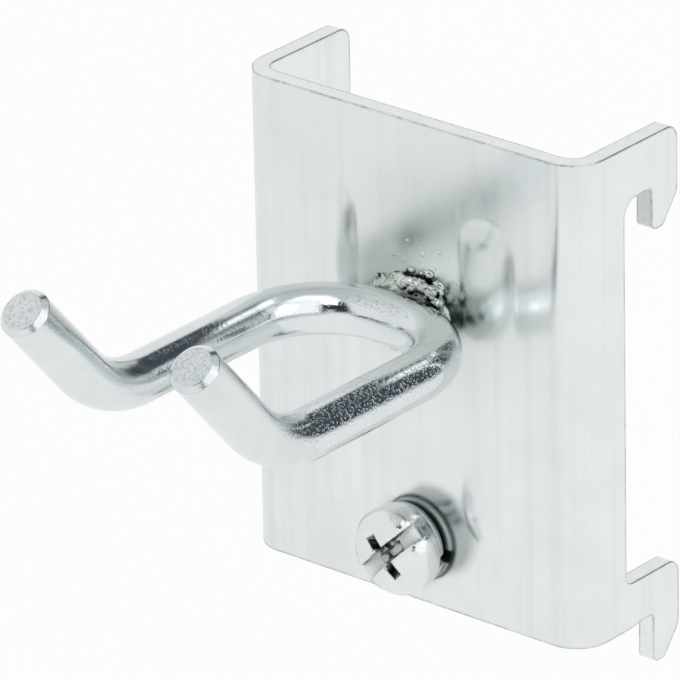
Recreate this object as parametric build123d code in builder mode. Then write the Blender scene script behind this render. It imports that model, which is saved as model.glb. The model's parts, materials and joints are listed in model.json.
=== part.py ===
"""Double hook for a square-hole tool panel.

A folded sheet-steel base plate hangs in the panel by four lugs.
A bent wire with two upturned prongs is welded to its front.
A short screw with a spring washer locks the plate to the panel.
The X axis runs across the plate, +Z is up and the prongs point to -Y.
The origin is the middle of the plane that touches the panel.
"""
from build123d import *
import math
import os

# Panel that the hook is made for
panel_pitch = 38.0

# Folded base plate
sheet = 1.5
plate_width = 35.0
plate_depth = 5.6
bend_inside = 1.5
foot_below_lug = 4.0

# Hooking lugs on the flanges
lug_reach = 6.8
lug_slot = 3.5
upper_neck = 4.5
lower_step = 0.2
lug_height = 8.2
lug_heel = 5.8
lug_tip_width = 1.4
lug_root = 2.0
lug_top_radius = 1.2
lug_heel_radius = 1.5
lug_tip_radius = 0.6
slot_root_radius = 1.6
slot_leg_radius = 0.5
lug_step_radius = 0.8
foot_lead = 0.4

# Stiffening beads pressed forward in the plate
bead_spacing = 16.2
bead_width = 5.7
bead_length = 28.8
bead_height = 0.5

# Bent wire with its two prongs
wire_dia = 4.25
wire_spacing = 17.2
wire_below_top = 16.5
loop_back = 1.8
arm_length = 12.9
tip_bend_radius = 9.5
tip_angle = 49.0
tip_length = 9.6
tip_chamfer = 0.45
weld_gap = 0.05

# Weld metal round the closed end of the wire
weld_width = 9.4
weld_crest = 4.6
weld_throw = 3.0

# Locking screw
screw_above_foot = 5.1
thread_dia = 4.0
thread_clearance = 0.05
screw_length = 8.0
point_chamfer = 0.5
head_dia = 7.4
head_side = 2.2
head_crown = 0.7
head_edge = 0.5
drive_slot_width = 1.4
drive_slot_depth = 1.3
recess_length = 4.5
recess_width = 1.0
recess_depth = 2.0
recess_floor_length = 1.9
recess_floor_width = 0.6
drive_turn = 45.0

# Split spring washer under the screw head
washer_clearance = 0.15
washer_outer_dia = 7.0
washer_thickness = 1.0
washer_split = 0.7
split_lean = 20.0
split_turn = -8.0

# Plunged collar behind the plate that carries the thread
collar_wall = 0.95
collar_length = 1.3
collar_blend = 0.4

# Sizes that follow from the ones above
plate_height = panel_pitch + foot_below_lug
half_width = plate_width / 2
half_height = plate_height / 2
front_y = -plate_depth
rear_y = front_y + sheet
upper_top = half_height
lower_top = half_height - panel_pitch
lower_neck = foot_below_lug - lower_step
wire_level = half_height - wire_below_top
bead_radius = (bead_width**2 / 4 + bead_height**2) / (2 * bead_height)
bead_axis_y = front_y - bead_height + bead_radius
arm_offset = wire_spacing / 2
loop_bend_radius = (wire_spacing - loop_back) / 2
wire_radius = wire_dia / 2
wire_back_y = front_y - weld_gap - wire_radius
arm_rear_y = wire_back_y - loop_bend_radius
arm_front_y = arm_rear_y - arm_length
screw_level = screw_above_foot - half_height
thread_radius = thread_dia / 2
hole_radius = thread_radius + thread_clearance
head_radius = head_dia / 2
head_seat_y = front_y - washer_thickness
head_side_y = head_seat_y - head_side
head_top_y = head_side_y - head_crown
screw_end_y = head_seat_y + screw_length
crown_radius = (head_radius**2 + head_crown**2) / (2 * head_crown)
crown_axis_y = head_top_y + crown_radius
crown_sweep = math.degrees(math.asin((head_radius - head_edge) / crown_radius))
near = sheet / 100


def facing(y):
    """Plane across the Y axis that looks forward, with X and Z as its own axes."""
    return Plane.XZ.offset(-y)


def lug_outline(top, neck, foot):
    """Points and corner radii of one lug, seen from the side of a flange."""
    slot_top = top - neck
    tip = top - lug_height
    heel = top - lug_heel
    points = [
        (-sheet, top),
        (lug_reach, top),
        (lug_reach, heel),
        (lug_slot + lug_tip_width, tip),
        (lug_slot, tip),
        (lug_slot, slot_top),
    ]
    radii = [0, lug_top_radius, lug_heel_radius, lug_tip_radius, lug_tip_radius, slot_leg_radius]
    return points + foot, radii


def bead_form(face_y, radius):
    """Arc-section bead with domed ends that stands forward of the plane at face_y."""
    reach = bead_axis_y - face_y
    half_chord = math.sqrt(radius**2 - reach**2)
    crest_y = bead_axis_y - radius
    run = bead_length - bead_width
    with BuildPart() as form:
        with BuildSketch(Plane.XY.offset(-run / 2)):
            with BuildLine():
                ThreePointArc((-half_chord, face_y), (0, crest_y), (half_chord, face_y))
                Line((half_chord, face_y), (-half_chord, face_y))
            make_face()
        extrude(amount=run)
        for end in (-run / 2, run / 2):
            with BuildSketch(Plane.XY.offset(end)):
                with BuildLine():
                    sweep_angle = math.degrees(math.asin(half_chord / radius))
                    CenterArc((0, bead_axis_y), radius, 270, sweep_angle)
                    Polyline((half_chord, face_y), (0, face_y), (0, crest_y))
                make_face()
            revolve(axis=Axis((0, 0, end), (0, 1, 0)))
    return form.part


os.makedirs("parts", exist_ok=True)

# Beads are pressed through the sheet, so the hollow behind is concentric
bead_crest = bead_form(front_y, bead_radius)
bead_hollow = bead_form(rear_y, bead_radius - sheet)

# Base plate, folded from one blank with a pair of lugs on each flange
upper_lug = lug_outline(
    upper_top,
    upper_neck,
    [
        (0, upper_top - upper_neck),
        (0, upper_top - upper_neck - lug_root),
        (-sheet, upper_top - upper_neck - lug_root),
    ],
)
lower_lug = lug_outline(
    lower_top,
    lower_neck,
    [
        (foot_lead + slot_root_radius, lower_top - lower_neck),
        (foot_lead, -half_height),
        (-sheet, -half_height),
    ],
)
upper_lug[1].extend([slot_root_radius, 0, 0])
lower_lug[1].extend([slot_leg_radius, 0, 0])

with BuildPart() as base_plate:
    with BuildSketch(Plane.XY.offset(-half_height)):
        with BuildLine():
            FilletPolyline(
                (-half_width, 0),
                (-half_width, front_y),
                (half_width, front_y),
                (half_width, 0),
                radius=bend_inside + sheet,
            )
            offset(amount=sheet, side=Side.LEFT)
        make_face()
    extrude(amount=plate_height)
    for flange_x in (-half_width, half_width - sheet):
        with BuildSketch(Plane.YZ.offset(flange_x)):
            for points, radii in (upper_lug, lower_lug):
                with BuildLine():
                    FilletPolyline(*points, radius=radii, close=True)
                make_face()
        extrude(amount=sheet)
    steps = base_plate.edges().filter_by(Axis.X)
    steps = steps.filter_by_position(Axis.Y, -near, near)
    fillet(steps.filter_by_position(Axis.Z, lower_top - near, lower_top + near), radius=lug_step_radius)

    # Beads stand forward of the front face and are hollow behind
    with GridLocations(bead_spacing, 0, 2, 1):
        add(bead_crest)
        add(bead_hollow, mode=Mode.SUBTRACT)

    # Threaded collar is drawn out of the plate to the rear
    with BuildSketch(facing(rear_y)):
        with Locations((0, screw_level)):
            Circle(hole_radius + collar_wall)
    extrude(amount=-collar_length)
    collar_root = base_plate.edges().filter_by(GeomType.CIRCLE)
    collar_root = collar_root.filter_by_position(Axis.Y, rear_y - near, rear_y + near)
    chamfer(collar_root.filter_by_position(Axis.Z, screw_level - near, screw_level + near), length=collar_blend)
    with BuildSketch(facing(front_y)):
        with Locations((0, screw_level)):
            Circle(hole_radius)
    extrude(amount=-sheet - collar_length, mode=Mode.SUBTRACT)
base_plate.part.label = "base_plate"
export_step(base_plate.part, "parts/base_plate.step")

# Double prong, one wire bent to a closed loop with both ends turned up
turn = math.radians(tip_angle)
bend_mid_y = arm_front_y - tip_bend_radius * math.sin(turn / 2)
bend_mid_z = wire_level + tip_bend_radius * (1 - math.cos(turn / 2))
bend_end_y = arm_front_y - tip_bend_radius * math.sin(turn)
bend_end_z = wire_level + tip_bend_radius * (1 - math.cos(turn))
tip_y = bend_end_y - tip_length * math.cos(turn)
tip_z = bend_end_z + tip_length * math.sin(turn)
tip_plane = Plane(origin=(-arm_offset, tip_y, tip_z), z_dir=(0, math.cos(turn), -math.sin(turn)))

with BuildPart() as double_prong:
    with BuildLine() as wire_path:
        for side in (-arm_offset, arm_offset):
            corner = math.copysign(loop_back / 2, side)
            swing = math.copysign(loop_bend_radius * math.sqrt(0.5), side)
            Line((side, tip_y, tip_z), (side, bend_end_y, bend_end_z))
            ThreePointArc(
                (side, bend_end_y, bend_end_z),
                (side, bend_mid_y, bend_mid_z),
                (side, arm_front_y, wire_level),
            )
            Line((side, arm_front_y, wire_level), (side, arm_rear_y, wire_level))
            ThreePointArc(
                (side, arm_rear_y, wire_level),
                (corner + swing, arm_rear_y + abs(swing), wire_level),
                (corner, wire_back_y, wire_level),
            )
        Line((-loop_back / 2, wire_back_y, wire_level), (loop_back / 2, wire_back_y, wire_level))
    with BuildSketch(tip_plane):
        Circle(wire_radius)
    sweep(path=wire_path.wires()[0])
    tips = double_prong.faces().filter_by(GeomType.PLANE)
    chamfer(tips.edges(), length=tip_chamfer)
double_prong.part.label = "double_prong"
export_step(double_prong.part, "parts/double_prong.step")

# Weld bead fills the corner between the plate and the back of the loop
with BuildPart() as weld_bead:
    with BuildSketch(facing(front_y)):
        with BuildLine():
            Polyline(
                (-weld_width / 2, wire_level),
                (-weld_crest / 2, wire_level + weld_throw),
                (weld_crest / 2, wire_level + weld_throw),
                (weld_width / 2, wire_level),
                close=True,
            )
        make_face()
    revolve(axis=Axis((0, front_y, wire_level), (1, 0, 0)), revolution_arc=180)
    add(double_prong.part, mode=Mode.SUBTRACT)
weld_bead.part.label = "weld_bead"
export_step(weld_bead.part, "parts/weld_bead.step")

# Locking screw with a raised cheese head, a slot and a cross recess
with BuildPart() as locking_screw:
    with BuildSketch(Plane.XY.offset(screw_level)):
        with BuildLine():
            CenterArc((0, crown_axis_y), crown_radius, 270, crown_sweep)
            Polyline(
                (head_radius - head_edge, crown_axis_y - crown_radius * math.cos(math.radians(crown_sweep))),
                (head_radius, head_side_y + head_edge),
                (head_radius, head_seat_y),
                (thread_radius, head_seat_y),
                (thread_radius, screw_end_y - point_chamfer),
                (thread_radius - point_chamfer, screw_end_y),
                (0, screw_end_y),
                (0, head_top_y),
            )
        make_face()
    revolve(axis=Axis((0, 0, screw_level), (0, 1, 0)))
    with BuildSketch(facing(head_top_y)):
        with Locations((0, screw_level)):
            Rectangle(2 * head_dia, drive_slot_width, rotation=drive_turn)
    extrude(amount=-drive_slot_depth, mode=Mode.SUBTRACT)
    for arm_turn in (drive_turn, drive_turn + 90):
        with BuildSketch(facing(head_top_y)):
            with Locations((0, screw_level)):
                Rectangle(recess_length, recess_width, rotation=arm_turn)
        with BuildSketch(facing(head_top_y + recess_depth)):
            with Locations((0, screw_level)):
                Rectangle(recess_floor_length, recess_floor_width, rotation=arm_turn)
        loft(mode=Mode.SUBTRACT)
locking_screw.part.label = "locking_screw"
export_step(locking_screw.part, "parts/locking_screw.step")

# Spring washer, a ring with a leaning split
with BuildPart() as spring_washer:
    with BuildSketch(facing(front_y)):
        with Locations((0, screw_level)):
            Circle(washer_outer_dia / 2)
            Circle(thread_radius + washer_clearance, mode=Mode.SUBTRACT)
    extrude(amount=washer_thickness)
    split_at = math.radians(split_turn)
    split_plane = Plane(
        origin=(0, front_y - washer_thickness / 2, screw_level),
        x_dir=(0, -1, 0),
        z_dir=(math.cos(split_at), 0, math.sin(split_at)),
    )
    with BuildSketch(split_plane):
        Rectangle(3 * washer_thickness, washer_split, rotation=split_lean)
    extrude(amount=washer_outer_dia, mode=Mode.SUBTRACT)
spring_washer.part.label = "spring_washer"
export_step(spring_washer.part, "parts/spring_washer.step")
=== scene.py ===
"""Looks for the double hook: bright zinc-plated steel in a plain white studio."""
import bmesh
import bpy
import json
import math
import random
from mathutils import Matrix, Vector, noise

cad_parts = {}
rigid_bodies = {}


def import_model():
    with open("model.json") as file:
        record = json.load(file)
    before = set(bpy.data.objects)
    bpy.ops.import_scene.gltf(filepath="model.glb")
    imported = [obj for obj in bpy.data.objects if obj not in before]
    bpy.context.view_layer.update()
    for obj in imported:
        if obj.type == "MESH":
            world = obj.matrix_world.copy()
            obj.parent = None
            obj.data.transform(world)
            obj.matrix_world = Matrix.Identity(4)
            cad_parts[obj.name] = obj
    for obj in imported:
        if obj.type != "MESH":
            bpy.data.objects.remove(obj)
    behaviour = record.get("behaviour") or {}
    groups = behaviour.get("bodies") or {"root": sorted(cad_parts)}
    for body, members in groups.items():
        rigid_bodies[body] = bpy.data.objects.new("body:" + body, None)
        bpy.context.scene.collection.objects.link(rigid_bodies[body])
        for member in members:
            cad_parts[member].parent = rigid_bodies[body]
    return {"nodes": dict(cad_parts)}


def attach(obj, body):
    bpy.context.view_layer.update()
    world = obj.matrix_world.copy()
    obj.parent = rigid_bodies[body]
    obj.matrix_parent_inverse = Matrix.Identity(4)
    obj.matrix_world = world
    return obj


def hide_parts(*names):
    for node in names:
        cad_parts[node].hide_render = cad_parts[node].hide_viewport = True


for item in list(bpy.data.objects):
    bpy.data.objects.remove(item, do_unlink=True)
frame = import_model()
bpy.context.view_layer.update()
nodes = frame["nodes"]

# Sizes and places on the hook, in metres
MM = 0.001
PLATE = -0.0056
FRONT_LIMIT = -0.0050
FLANGE_START = -0.0038
SEAT = -0.0066
WIRE_Z = 0.0045
SCREW_Z = -0.0159
BEAD_X = 0.0081
BEAD_END_Z = 0.01155
BEAD_AXIS_Y = 0.00227
DOME_REACH = 0.0010
NARROW_EDGE = 0.00014

# Colours
WHITE = (1, 1, 1, 1)
BRIGHT_EDGE = (0.88, 0.89, 0.89, 1)


# Camera

def aim_camera():
    """Long lens from far off, fitted to the photo."""
    azimuth, elevation, roll = (math.radians(angle) for angle in (40.12, 24.28, -1.19))
    target = Vector((0.0, -10.0, 0.0))
    distance, aside, higher = 700.0, -2.76, 3.15
    back = Vector((
        math.sin(azimuth) * math.cos(elevation),
        -math.cos(azimuth) * math.cos(elevation),
        math.sin(elevation)))
    right = Vector((math.cos(azimuth), math.sin(azimuth), 0.0))
    up = back.cross(right)
    across = right * math.cos(roll) + up * math.sin(roll)
    above = up * math.cos(roll) - right * math.sin(roll)
    place = (target + back * distance + across * aside + above * higher) * MM
    data = bpy.data.cameras.new("camera")
    data.sensor_width = 36.0
    data.lens = 465.5
    data.clip_start = 0.01
    data.clip_end = 20.0
    cam = bpy.data.objects.new("camera", data)
    bpy.context.collection.objects.link(cam)
    cam.matrix_world = Matrix((
        (across.x, above.x, back.x, place.x),
        (across.y, above.y, back.y, place.y),
        (across.z, above.z, back.z, place.z),
        (0, 0, 0, 1)))
    bpy.context.scene.camera = cam


# Node helpers

class Tree:
    """Short calls that add shader nodes and return their output."""

    def __init__(self, tree):
        self.tree = tree
        tree.nodes.clear()

    def add(self, kind, **values):
        node = self.tree.nodes.new(kind)
        for key, value in values.items():
            setattr(node, key, value)
        return node

    def put(self, value, socket):
        if isinstance(value, bpy.types.NodeSocket):
            self.tree.links.new(value, socket)
        else:
            socket.default_value = value

    def math(self, operation, a, b=0.0):
        node = self.add("ShaderNodeMath", operation=operation)
        self.put(a, node.inputs[0])
        self.put(b, node.inputs[1])
        return node.outputs[0]

    def times(self, a, b):
        return self.math("MULTIPLY", a, b)

    def size(self, value):
        return self.math("ABSOLUTE", value)

    def vector(self, operation, *values):
        node = self.add("ShaderNodeVectorMath", operation=operation)
        for socket, value in zip(node.inputs, values):
            self.put(value, socket)
        return node.outputs["Vector"]

    def measure(self, operation, a, b):
        node = self.add("ShaderNodeVectorMath", operation=operation)
        self.put(a, node.inputs[0])
        self.put(b, node.inputs[1])
        return node.outputs["Value"]

    def split(self, vector):
        node = self.add("ShaderNodeSeparateXYZ")
        self.put(vector, node.inputs[0])
        return node.outputs

    def span(self, value, low, high, out_low=0.0, out_high=1.0):
        """Smooth step between two values, which runs down where low is above high."""
        node = self.add("ShaderNodeMapRange", interpolation_type="SMOOTHSTEP")
        self.put(value, node.inputs["Value"])
        self.put(low, node.inputs["From Min"])
        self.put(high, node.inputs["From Max"])
        self.put(out_low, node.inputs["To Min"])
        self.put(out_high, node.inputs["To Max"])
        return node.outputs["Result"]

    def mix(self, factor, a, b):
        """Mix of two colours."""
        node = self.add("ShaderNodeMix", data_type="RGBA")
        self.put(factor, node.inputs[0])
        self.put(a, node.inputs[6])
        self.put(b, node.inputs[7])
        return node.outputs[2]

    def blend(self, factor, a, b):
        """Mix of two directions."""
        node = self.add("ShaderNodeMix", data_type="VECTOR")
        self.put(factor, node.inputs[0])
        self.put(a, node.inputs[4])
        self.put(b, node.inputs[5])
        return node.outputs[1]

    def noise(self, vector, scale, detail, roughness=0.55, distortion=0.0):
        node = self.add("ShaderNodeTexNoise")
        self.put(vector, node.inputs["Vector"])
        self.put(scale, node.inputs["Scale"])
        self.put(detail, node.inputs["Detail"])
        self.put(roughness, node.inputs["Roughness"])
        self.put(distortion, node.inputs["Distortion"])
        return node.outputs["Fac"]

    def stretched_noise(self, vector, scales, detail, roughness):
        node = self.add("ShaderNodeMapping")
        self.put(vector, node.inputs["Vector"])
        self.put(scales, node.inputs["Scale"])
        return self.noise(node.outputs["Vector"], 1.0, detail, roughness)

    def bevel(self, radius, samples):
        node = self.add("ShaderNodeBevel", samples=samples)
        self.put(radius, node.inputs["Radius"])
        return node.outputs[0]


def new_material(name):
    """Material that uses nodes, and its node tree."""
    mat = bpy.data.materials.new(name)
    mat.use_nodes = True
    return mat, mat.node_tree


# Studio

ROOM = (0.92, 0.93, 0.93, 1)
CEILING = (0.62, 0.64, 0.64, 1)
SIDE_PANEL = (1.18, 1.19, 1.20, 1)
TOP_PANEL = (1.30, 1.31, 1.32, 1)
REAR_RIM = (0.46, 0.50, 0.50, 1)
REAR_DARK = (0.060, 0.072, 0.090, 1)
FRONT_RIM = (0.42, 0.46, 0.46, 1)
FRONT_DARK = (0.030, 0.036, 0.044, 1)

# Each patch of the room is a colour, its azimuth, its elevation and a soft edge, in radians.
# Azimuth runs from +Y towards +X and wraps at pi, so a patch across the wrap is given twice.
ROOM_PATCHES = (
    (SIDE_PANEL, (1.14, 2.40), (0.02, 0.95), 0.05),
    (TOP_PANEL, (1.14, 3.40), (0.98, 1.42), 0.06),
    (REAR_RIM, (-0.43, 1.10), (-0.06, 0.92), 0.05),
    (REAR_DARK, (-0.36, 1.00), (0.05, 0.86), 0.03),
    (FRONT_RIM, (2.44, 3.70), (0.08, 0.96), 0.06),
    (FRONT_RIM, (-3.70, -2.98), (0.08, 0.96), 0.06),
    (FRONT_DARK, (2.52, 3.60), (0.18, 0.88), 0.05),
    (FRONT_DARK, (-3.60, -3.06), (0.18, 0.88), 0.05))


def light_world():
    """Pale room with bright panels and dark gaps for the metal to reflect, white to the camera."""
    world = bpy.data.worlds.new("studio")
    bpy.context.scene.world = world
    world.use_nodes = True
    t = Tree(world.node_tree)
    x, y, z = t.split(t.add("ShaderNodeTexCoord").outputs["Generated"])
    azimuth = t.math("ARCTAN2", x, y)
    elevation = t.math("ARCSINE", z)

    def within(angle, limits, soft):
        low, high = limits
        return t.times(t.span(angle, low - soft, low + soft), t.span(angle, high + soft, high - soft))

    room = t.mix(t.span(elevation, 0.75, 1.15), ROOM, CEILING)
    for colour, sides, ends, soft in ROOM_PATCHES:
        patch = t.times(within(azimuth, sides, soft), within(elevation, ends, soft))
        room = t.mix(patch, room, colour)
    rays = t.add("ShaderNodeLightPath").outputs
    shade = t.add("ShaderNodeBackground")
    t.put(t.mix(rays["Is Camera Ray"], room, WHITE), shade.inputs["Color"])
    t.put(1.0, shade.inputs["Strength"])
    out = t.add("ShaderNodeOutputWorld")
    t.put(shade.outputs[0], out.inputs["Surface"])


def area_lamp(name, place, size, watts):
    """Square lamp aimed at the middle of the hook."""
    middle = Vector((0, -0.01, 0))
    data = bpy.data.lights.new(name, "AREA")
    data.shape = "SQUARE"
    data.size = size
    data.energy = watts
    lamp = bpy.data.objects.new(name, data)
    bpy.context.collection.objects.link(lamp)
    lamp.location = place
    lamp.rotation_euler = (middle - Vector(place)).to_track_quat("-Z", "Y").to_euler()


def paper_material():
    """White paper that camera, metal and glass see as bright, a little greyer to the left."""
    mat, tree = new_material("floor_paper")
    t = Tree(tree)
    coords = t.add("ShaderNodeTexCoord").outputs["Object"]
    rays = t.add("ShaderNodeLightPath").outputs
    paper = t.add("ShaderNodeBsdfDiffuse")
    grain = t.noise(coords, 900.0, 3.0)
    t.put(t.mix(grain, (0.90, 0.90, 0.90, 1), (0.93, 0.93, 0.93, 1)), paper.inputs["Color"])
    shaded = t.mix(t.span(t.split(coords)["X"], -0.16, 0.02), (0.92, 0.93, 0.94, 1), WHITE)
    glow = t.add("ShaderNodeEmission")
    t.put(t.mix(rays["Is Camera Ray"], shaded, WHITE), glow.inputs["Color"])
    t.put(1.0, glow.inputs["Strength"])
    bright = t.math("MAXIMUM", rays["Is Camera Ray"], rays["Is Glossy Ray"])
    bright = t.math("MAXIMUM", bright, rays["Is Transmission Ray"])
    both = t.add("ShaderNodeMixShader")
    glow_share = 0.92
    t.put(t.times(bright, glow_share), both.inputs[0])
    t.put(paper.outputs[0], both.inputs[1])
    t.put(glow.outputs[0], both.inputs[2])
    out = t.add("ShaderNodeOutputMaterial")
    t.put(both.outputs[0], out.inputs["Surface"])
    return mat


def lay_floor():
    """Sheet of paper below the hook."""
    side, near, far, level = 1.4, -1.6, 0.22, -0.06
    mesh = bpy.data.meshes.new("floor")
    bm = bmesh.new()
    corners = ((-side, near, level), (side, near, level), (side, far, level), (-side, far, level))
    bm.faces.new([bm.verts.new(corner) for corner in corners])
    bm.to_mesh(mesh)
    bm.free()
    floor = bpy.data.objects.new("floor", mesh)
    bpy.context.collection.objects.link(floor)
    mesh.materials.append(paper_material())


# Metal

class Plating(Tree):
    """Zinc plating built up in layers of colour, roughness and height, in the order of the calls."""

    def __init__(self, name, light, deep, rough, grain):
        self.material, tree = new_material(name)
        super().__init__(tree)
        grain_scale, grain_height = grain
        self.deep = deep
        self.coords = self.add("ShaderNodeTexCoord").outputs["Object"]
        self.place = self.split(self.coords)
        self.fore = self.math("LESS_THAN", self.place["Y"], FRONT_LIMIT)
        geometry = self.add("ShaderNodeNewGeometry").outputs
        self.normal = geometry["Normal"]
        self.facet = geometry["True Normal"]
        self.cloud = self.noise(self.coords, 170.0, 4.0, 0.6, 0.4)
        self.fine = self.noise(self.coords, grain_scale, 2.0, 0.5)
        self.colour = self.mix(self.span(self.cloud, 0.30, 0.72), light, deep)
        self.roughness = self.span(self.cloud, 0.25, 0.75, *rough)
        self.height = self.times(self.fine, grain_height)
        self.smooth = None

    def rougher(self, amount):
        self.roughness = self.math("ADD", self.roughness, amount)

    def higher(self, amount):
        self.height = self.math("ADD", self.height, amount)

    def streaks(self, scales, share, relief):
        """Long faint lines, a little darker than the plating."""
        lines = self.stretched_noise(self.coords, scales, 4.0, 0.6)
        shade = tuple(0.90 * part for part in self.deep[:3]) + (1,)
        self.colour = self.mix(self.times(self.span(lines, 0.45, 0.72), share), self.colour, shade)
        self.rougher(self.span(lines, 0.3, 0.7, -0.03, 0.03))
        self.higher(self.times(lines, relief))

    def pits(self, scale, depth, calm=None):
        """Small pits, weaker away from one place where calm is given."""
        sunk = self.span(self.noise(self.coords, scale, 1.0, 0.5), 0.52, 0.66, 0.0, depth)
        if calm:
            centre, near, far, rest = calm
            away = self.measure("DISTANCE", self.coords, centre)
            sunk = self.times(sunk, self.span(away, near, far, 1.0, rest))
        self.height = self.math("SUBTRACT", self.height, sunk)

    def tint_and_painted_shade(self, centre, outer, inner, tone, share):
        """Cloudy tint round one place, on the front side only, used for tints, for a painted shadow and for
        a painted reflection.
        """
        sway = 0.25 * (outer - inner)
        away = self.measure("DISTANCE", self.coords, centre)
        away = self.math("ADD", away, self.span(self.cloud, 0.2, 0.8, -sway, sway))
        amount = self.times(self.span(away, outer, inner), share)
        self.colour = self.mix(self.times(amount, self.fore), self.colour, tone)

    def sheared_edges(self):
        """Dull torn texture on the plate's cut edges, told from its faces by their direction."""
        facing = self.split(self.normal)
        ends = self.math("GREATER_THAN", self.size(facing["Z"]), 0.6)
        behind = self.math("GREATER_THAN", self.place["Y"], FLANGE_START)
        outline = self.math("LESS_THAN", self.size(facing["X"]), 0.5)
        sheared = self.math("MAXIMUM", ends, self.times(behind, outline))
        torn = self.stretched_noise(self.coords, (5200.0, 900.0, 900.0), 3.0, 0.6)
        dull = self.mix(torn, (0.72, 0.75, 0.74, 1), (0.94, 0.95, 0.95, 1))
        self.colour = self.mix(sheared, self.colour, dull)
        self.rougher(self.times(sheared, 0.08))
        self.higher(self.times(self.times(sheared, torn), 0.6))

    def sawn_ends(self, direction, tone):
        """Mottled flat ends of the wire, which face the given direction."""
        sawn = self.math("GREATER_THAN", self.measure("DOT_PRODUCT", self.normal, direction), 0.97)
        chips = self.noise(self.coords, 3400.0, 3.0, 0.7)
        self.colour = self.mix(self.times(sawn, self.span(chips, 0.46, 0.64)), self.colour, tone)
        self.rougher(self.times(sawn, 0.10))
        self.higher(self.times(self.times(sawn, chips), 2.4))

    def edges(self, radius, tone, plate=False):
        """Edges rounded in the shading, with a thin line of another tone along them, which on the plate is a
        painted shadow line.
        """
        self.smooth = self.bevel(radius, 6)
        agree = self.measure("DOT_PRODUCT", self.bevel(radius * 2.2, 6), self.normal)
        wear_and_painted_shadow = self.times(self.span(agree, 0.995, 0.90), self.span(self.fine, 0.35, 0.6, 0.4, 1.0))
        if plate:
            gaps = self.span(self.noise(self.coords, 380.0, 2.0), 0.42, 0.60, 0.45, 1.0)
            wear_and_painted_shadow = self.soft_beads(self.times(wear_and_painted_shadow, gaps))
        self.colour = self.mix(self.times(wear_and_painted_shadow, 0.8), self.colour, tone)
        self.roughness = self.math("SUBTRACT", self.roughness, self.times(wear_and_painted_shadow, 0.05))

    def soft_beads(self, wear_and_painted_shadow):
        """Beads that run softly into the front of the plate, without the painted shadow line of an edge."""
        beside = self.size(self.math("SUBTRACT", self.size(self.place["X"]), BEAD_X))
        along = self.size(self.place["Z"])
        pressed = self.times(self.span(beside, 0.0038, 0.0034), self.span(along, 0.0154, 0.0150))
        pressed = self.times(pressed, self.fore)
        self.smooth = self.blend(pressed, self.smooth, self.bevel(0.0007, 8))
        return self.times(wear_and_painted_shadow, self.math("SUBTRACT", 1.0, pressed))

    def painted_shade_in_hollows(self, reach, low, high, share, tone):
        """Painted shade where the metal closes in on itself."""
        node = self.add("ShaderNodeAmbientOcclusion", samples=8)
        self.put(reach, node.inputs["Distance"])
        hollow_shade = self.span(node.outputs["AO"], high, low, 0.0, share)
        self.colour = self.mix(hollow_shade, self.colour, tone)

    def true_domes(self):
        """Exact normals at the poles of the beads' domed ends, where the mesh's own are uneven."""
        pole = (BEAD_X, 0.0054, BEAD_END_Z)
        away = self.measure("DISTANCE", self.vector("ABSOLUTE", self.coords), pole)
        ends = self.vector("MULTIPLY", self.vector("SIGN", self.coords), (BEAD_X, 0.0, BEAD_END_Z))
        middle = self.vector("ADD", ends, (0.0, BEAD_AXIS_Y, 0.0))
        spoke = self.vector("NORMALIZE", self.vector("SUBTRACT", self.coords, middle))
        inward = self.vector("MULTIPLY", self.facet, (-1.0, -1.0, -1.0))
        exact = self.vector("FACEFORWARD", spoke, inward, spoke)
        self.smooth = self.blend(self.math("LESS_THAN", away, DOME_REACH), self.smooth, exact)

    def finish(self):
        """Metal shader on top of all layers."""
        bump = self.add("ShaderNodeBump")
        self.put(1.0, bump.inputs["Strength"])
        self.put(0.00002, bump.inputs["Distance"])
        self.put(self.height, bump.inputs["Height"])
        self.put(self.smooth, bump.inputs["Normal"])
        metal = self.add("ShaderNodeBsdfPrincipled")
        self.put(1.0, metal.inputs["Metallic"])
        self.put(self.colour, metal.inputs["Base Color"])
        self.put(self.roughness, metal.inputs["Roughness"])
        self.put(bump.outputs[0], metal.inputs["Normal"])
        out = self.add("ShaderNodeOutputMaterial")
        self.put(metal.outputs[0], out.inputs["Surface"])
        return self.material


# Finishes

# Each entry on the plate is a centre, an outer and an inner reach, a tone and a share.
# The first two are a greyer, greener tone round the weld, the third a painted shadow, near black, where the
# wire meets the plate, and the last a painted reflection of the screw's head beside the screw.
PLATE_TINTS_AND_PAINTED_SHADE = (
    ((0.0035, PLATE, 0.0090), 0.0130, 0.0025, (0.62, 0.68, 0.65, 1), 0.75),
    ((-0.0030, PLATE, 0.0078), 0.0040, 0.0010, (0.52, 0.58, 0.53, 1), 0.6),
    # Painted shadow where the wire meets the plate.
    ((0.0050, PLATE, 0.0050), 0.0014, 0.0003, (0.07, 0.09, 0.08, 1), 0.85),
    # Painted reflection of the screw's head.
    ((0.0027, PLATE, -0.0142), 0.0044, 0.0031, (0.38, 0.43, 0.43, 1), 0.62))


def plate_finish():
    """Rolled sheet with upright streaks, tints round the weld, a painted shadow where the wire meets it, a
    painted reflection of the screw's head, a painted shadow line along its edges, painted shade in its
    hollows, and sheared edges.
    """
    zinc = Plating("plate_finish", light=(0.83, 0.85, 0.85, 1), deep=(0.79, 0.82, 0.815, 1),
                   rough=(0.17, 0.25), grain=(4200.0, 0.18))
    zinc.streaks(scales=(800.0, 800.0, 14.0), share=0.40, relief=0.25)
    for tint_and_painted_shade in PLATE_TINTS_AND_PAINTED_SHADE:
        zinc.tint_and_painted_shade(*tint_and_painted_shade)
    zinc.sheared_edges()
    # Painted shadow line, near black, along the plate's edges.
    zinc.edges(radius=0.00018, tone=(0.22, 0.24, 0.24, 1), plate=True)
    # Painted shade near the weld, the washer and the wire.
    zinc.painted_shade_in_hollows(reach=0.0018, low=0.20, high=0.75, share=0.6, tone=(0.12, 0.14, 0.135, 1))
    zinc.true_domes()
    return zinc.finish()


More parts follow.
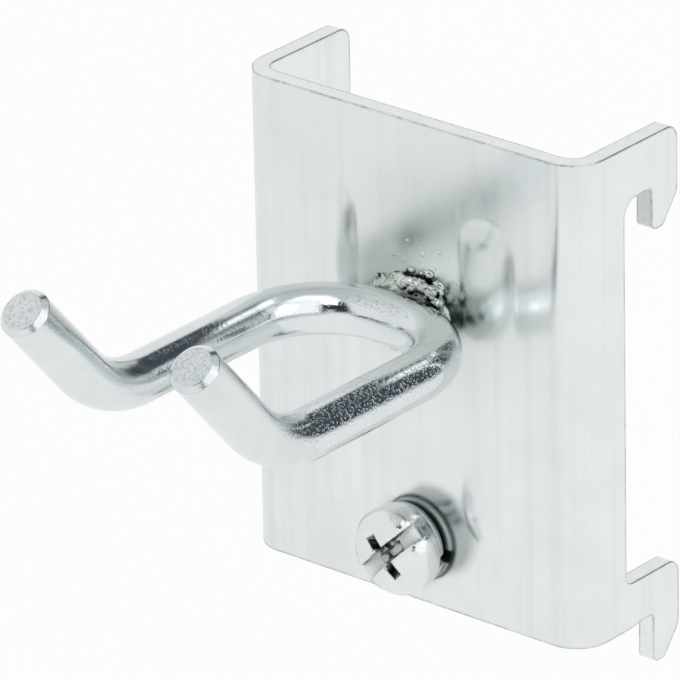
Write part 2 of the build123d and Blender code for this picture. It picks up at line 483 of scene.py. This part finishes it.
def wire_finish():
    """Bright drawn wire, pitted along the near arm, with sawn ends."""
    near_arm = (0.0086, -0.0225, WIRE_Z)
    along_tip = (0.0, -0.6561, 0.7547)
    zinc = Plating("wire_finish", light=(0.76, 0.79, 0.80, 1), deep=(0.70, 0.74, 0.745, 1),
                   rough=(0.07, 0.13), grain=(5200.0, 0.35))
    zinc.pits(scale=4300.0, depth=0.62, calm=(near_arm, 0.0100, 0.0130, 0.25))
    zinc.sawn_ends(along_tip, tone=(0.56, 0.60, 0.60, 1))
    zinc.edges(NARROW_EDGE, tone=(0.55, 0.58, 0.58, 1))
    return zinc.finish()


def screw_finish():
    """Grained screw with painted shade in its recesses."""
    zinc = Plating("screw_finish", light=(0.80, 0.82, 0.82, 1), deep=(0.73, 0.77, 0.77, 1),
                   rough=(0.10, 0.18), grain=(5200.0, 0.5))
    zinc.pits(scale=3000.0, depth=0.4)
    zinc.edges(NARROW_EDGE, tone=(0.62, 0.65, 0.65, 1))
    zinc.painted_shade_in_hollows(reach=0.0018, low=0.25, high=0.92, share=0.9, tone=(0.16, 0.19, 0.18, 1))
    return zinc.finish()


def washer_finish():
    """Duller spring steel."""
    zinc = Plating("washer_finish", light=(0.78, 0.81, 0.81, 1), deep=(0.66, 0.70, 0.70, 1),
                   rough=(0.36, 0.46), grain=(5200.0, 0.6))
    zinc.edges(NARROW_EDGE, BRIGHT_EDGE)
    return zinc.finish()


def weld_finish():
    """Glassy weld metal with painted shade in the gaps between its lumps and a greener left side."""
    left_side = (-0.0040, -0.0062, 0.0070)
    metal = Plating("weld_finish", light=(0.86, 0.88, 0.86, 1), deep=(0.40, 0.45, 0.42, 1),
                    rough=(0.06, 0.22), grain=(3600.0, 1.2))
    metal.pits(scale=2600.0, depth=1.2)
    metal.tint_and_painted_shade(left_side, outer=0.0040, inner=0.0020, tone=(0.46, 0.51, 0.46, 1), share=0.9)
    metal.edges(radius=0.00004, tone=BRIGHT_EDGE)
    metal.painted_shade_in_hollows(reach=0.0007, low=0.30, high=0.85, share=1.0, tone=(0.03, 0.035, 0.03, 1))
    return metal.finish()


# Pieces

def dress(piece, mat):
    """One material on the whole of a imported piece."""
    if piece.data.materials:
        for i in range(len(piece.data.materials)):
            piece.data.materials[i] = mat
    else:
        piece.data.materials.append(mat)


def as_piece(name, bm, mat, sharp):
    """Object of the part from a mesh, smooth up to the sharp angle in degrees."""
    mesh = bpy.data.meshes.new(name)
    bmesh.ops.recalc_face_normals(bm, faces=bm.faces)
    bm.to_mesh(mesh)
    bm.free()
    for face in mesh.polygons:
        face.use_smooth = True
    mesh.set_sharp_from_angle(angle=math.radians(sharp))
    mesh.materials.append(mat)
    piece = bpy.data.objects.new(name, mesh)
    bpy.context.collection.objects.link(piece)
    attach(piece, "root")
    return piece


def lump(bm, centre, size, detail):
    """Ball stretched to three half sizes."""
    made = bmesh.ops.create_icosphere(bm, subdivisions=detail, radius=1.0)
    for v in made["verts"]:
        v.co = Vector((v.co.x * size[0], v.co.y * size[1], v.co.z * size[2])) + Vector(centre)


def trim_at_plate(bm):
    """Cut away all that lies behind the front of the plate."""
    everything = bm.verts[:] + bm.edges[:] + bm.faces[:]
    bmesh.ops.bisect_plane(bm, geom=everything, plane_co=(0, PLATE, 0), plane_no=(0, 1, 0), clear_outer=True)


def ring_point(bm, radius, angle, y):
    """Vertex round the screw's axis, from a radius and a place along it in millimetres."""
    return bm.verts.new((radius * MM * math.cos(angle), y * MM, SCREW_Z + radius * MM * math.sin(angle)))


def skin_rings(bm, rings):
    """Faces between rings of as many points, and one at each end."""
    count = len(rings[0])
    for lower, upper in zip(rings, rings[1:]):
        for k in range(count):
            n = (k + 1) % count
            bm.faces.new((lower[k], lower[n], upper[n], upper[k]))
    bm.faces.new(rings[0])
    bm.faces.new(rings[-1])


def remeshed(bm, voxel):
    """Mesh of one skin round all the overlapping lumps."""
    raw = bpy.data.meshes.new("weld_raw")
    bm.to_mesh(raw)
    bm.free()
    holder = bpy.data.objects.new("weld_raw", raw)
    bpy.context.collection.objects.link(holder)
    skin = holder.modifiers.new("skin", "REMESH")
    skin.mode = "VOXEL"
    skin.voxel_size = voxel
    soft = holder.modifiers.new("soft", "SMOOTH")
    soft.iterations = 2
    bpy.context.view_layer.update()
    made = bpy.data.meshes.new_from_object(holder.evaluated_get(bpy.context.evaluated_depsgraph_get()))
    bpy.data.objects.remove(holder, do_unlink=True)
    bm = bmesh.new()
    bm.from_mesh(made)
    bpy.data.meshes.remove(made)
    return bm


def weld_run(mat):
    """Lumpy weld metal above and below the closed end of the wire, smoother at its left."""
    rnd = random.Random(11)
    lumps = 110
    start, run, crowding = -3.3, 6.9, 0.8
    crest, half_run = 0.7, 4.6
    contact = 0.00003
    bm = bmesh.new()
    lump(bm, (0.0, PLATE + 0.0001, WIRE_Z), (0.0044, 0.0013, 0.0029), 4)
    for side in (1, -1):
        for i in range(lumps):
            x = side * (start + run * (i / (lumps - 1)) ** crowding + rnd.uniform(-0.2, 0.2))
            swell = 1.0 - (abs(x - crest * side) / half_run) ** 2
            lively = min(max((x * side + 1.7) / 1.5, 0.12), 1.0)
            z = 4.5 + side * (1.5 + 1.35 * swell + rnd.uniform(-0.6, 0.35))
            r = 0.12 + lively * rnd.uniform(0.04, 0.30)
            rise = lively * rnd.uniform(0.1, 0.95)
            width = r * MM * rnd.uniform(0.8, 1.3)
            lump(bm, (x * MM, PLATE - rise * MM, z * MM), (width, r * MM, r * MM), 3)
    bm = remeshed(bm, 0.00008)
    trim_at_plate(bm)
    bm.normal_update()
    for v in bm.verts:
        if v.co.y < PLATE - contact:
            rough = noise.noise(v.co * 2600.0) * 0.00009 + noise.noise(v.co * 900.0) * 0.00014
            v.co += v.normal * rough
            v.co.y = min(v.co.y, PLATE)
    piece = as_piece("weld_run", bm, mat, 60.0)
    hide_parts("weld_bead")


def spatter(mat):
    """Small drops thrown on the plate above the weld, and three larger ones beside it."""
    rnd = random.Random(5)
    farthest, highest = 6.4, 11.0
    contact = 0.00002
    bm = bmesh.new()
    for _ in range(22):
        x = rnd.gauss(1.6, 2.6)
        z = 7.6 + abs(rnd.gauss(0.0, 1.2))
        r = rnd.uniform(0.07, 0.22)
        if abs(x) > farthest or z > highest:
            continue
        width = r * MM * rnd.uniform(0.8, 1.4)
        lump(bm, (x * MM, PLATE + 0.02 * MM, z * MM), (width, r * MM * 0.7, r * MM), 2)
    for x, z, r in ((3.1, 7.4, 0.55), (2.2, 8.2, 0.4), (0.4, 8.1, 0.3)):
        lump(bm, (x * MM, PLATE, z * MM), (r * MM * 1.2, r * MM * 0.8, r * MM), 3)
    trim_at_plate(bm)
    for v in bm.verts:
        if v.co.y < PLATE - contact:
            v.co.y += noise.noise(v.co * 4000.0) * 0.00004
            v.co.y = min(v.co.y, PLATE)
    as_piece("weld_spatter", bm, mat, 60.0)


def screw_head(mat):
    """Head of the screw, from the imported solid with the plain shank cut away."""
    weld_distance, behind_seat = 1e-7, 0.00001
    bm = bmesh.new()
    bm.from_mesh(nodes["locking_screw"].data)
    bmesh.ops.remove_doubles(bm, verts=bm.verts, dist=weld_distance)
    shank = [f for f in bm.faces if f.calc_center_median().y > SEAT + behind_seat]
    bmesh.ops.delete(bm, geom=shank, context="FACES")
    piece = as_piece("screw_head", bm, mat, 28.0)
    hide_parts("locking_screw")


def screw_thread(mat):
    """M4 thread that runs out at the point, in millimetres."""
    pitch, crest, root = 0.7, 2.0, 1.57
    point, run_out = 1.4, 0.5
    slope, flat = 3.2, 0.35
    steps, around = 118, 60
    start = SEAT / MM
    bm = bmesh.new()
    rings = []
    for i in range(steps + 1):
        y = start + (point - start) * i / steps
        ring = []
        for k in range(around):
            phase = (y / pitch - k / around) % 1.0
            rise = min(max((0.5 - abs(phase - 0.5)) * slope - flat, 0.0), 1.0)
            r = min(root + (crest - root) * rise, crest - max(0.0, y - (point - run_out)))
            ring.append(ring_point(bm, r, 2 * math.pi * k / around, y))
        rings.append(ring)
    skin_rings(bm, rings)
    as_piece("screw_thread", bm, mat, 40.0)


def lock_washer(mat):
    """Split spring washer, wound as one flat turn that leaves a thin gap under the head."""
    inner, outer, thick, lift = 2.15, 3.5, 0.72, 0.28
    first, last, count = -2.0, 340.0, 96
    corner, slant = 0.10, 0.06
    bm = bmesh.new()
    rings = []
    for i in range(count + 1):
        share = i / count
        lean = slant if i in (0, count) else 0.0
        angle = math.radians(first + (last - first) * share)
        front = SEAT / MM + lift * share
        back = front + thick
        outline = (
            (inner, front + corner), (inner + corner, front),
            (outer - corner, front), (outer, front + corner),
            (outer, back - corner), (outer - corner, back),
            (inner + corner, back), (inner, back - corner))
        section = []
        for r, y in outline:
            tilt = angle + lean * (y - front - thick / 2) / thick * 2
            section.append(ring_point(bm, r, tilt, y))
        rings.append(section)
    skin_rings(bm, rings)
    piece = as_piece("lock_washer", bm, mat, 50.0)
    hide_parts("spring_washer")


sheet_zinc = plate_finish()
rod_zinc = wire_finish()
head_zinc = screw_finish()
ring_zinc = washer_finish()
bead_metal = weld_finish()

dress(nodes["base_plate"], sheet_zinc)
dress(nodes["double_prong"], rod_zinc)
weld_run(bead_metal)
spatter(bead_metal)
screw_head(head_zinc)
screw_thread(head_zinc)
lock_washer(ring_zinc)

aim_camera()
light_world()
lay_floor()
area_lamp("key", (0.30, -0.75, 0.90), 0.4, 0.9)
area_lamp("fill", (0.95, 0.10, 0.55), 0.5, 0.8)
bpy.context.scene.view_settings.view_transform = "Standard"
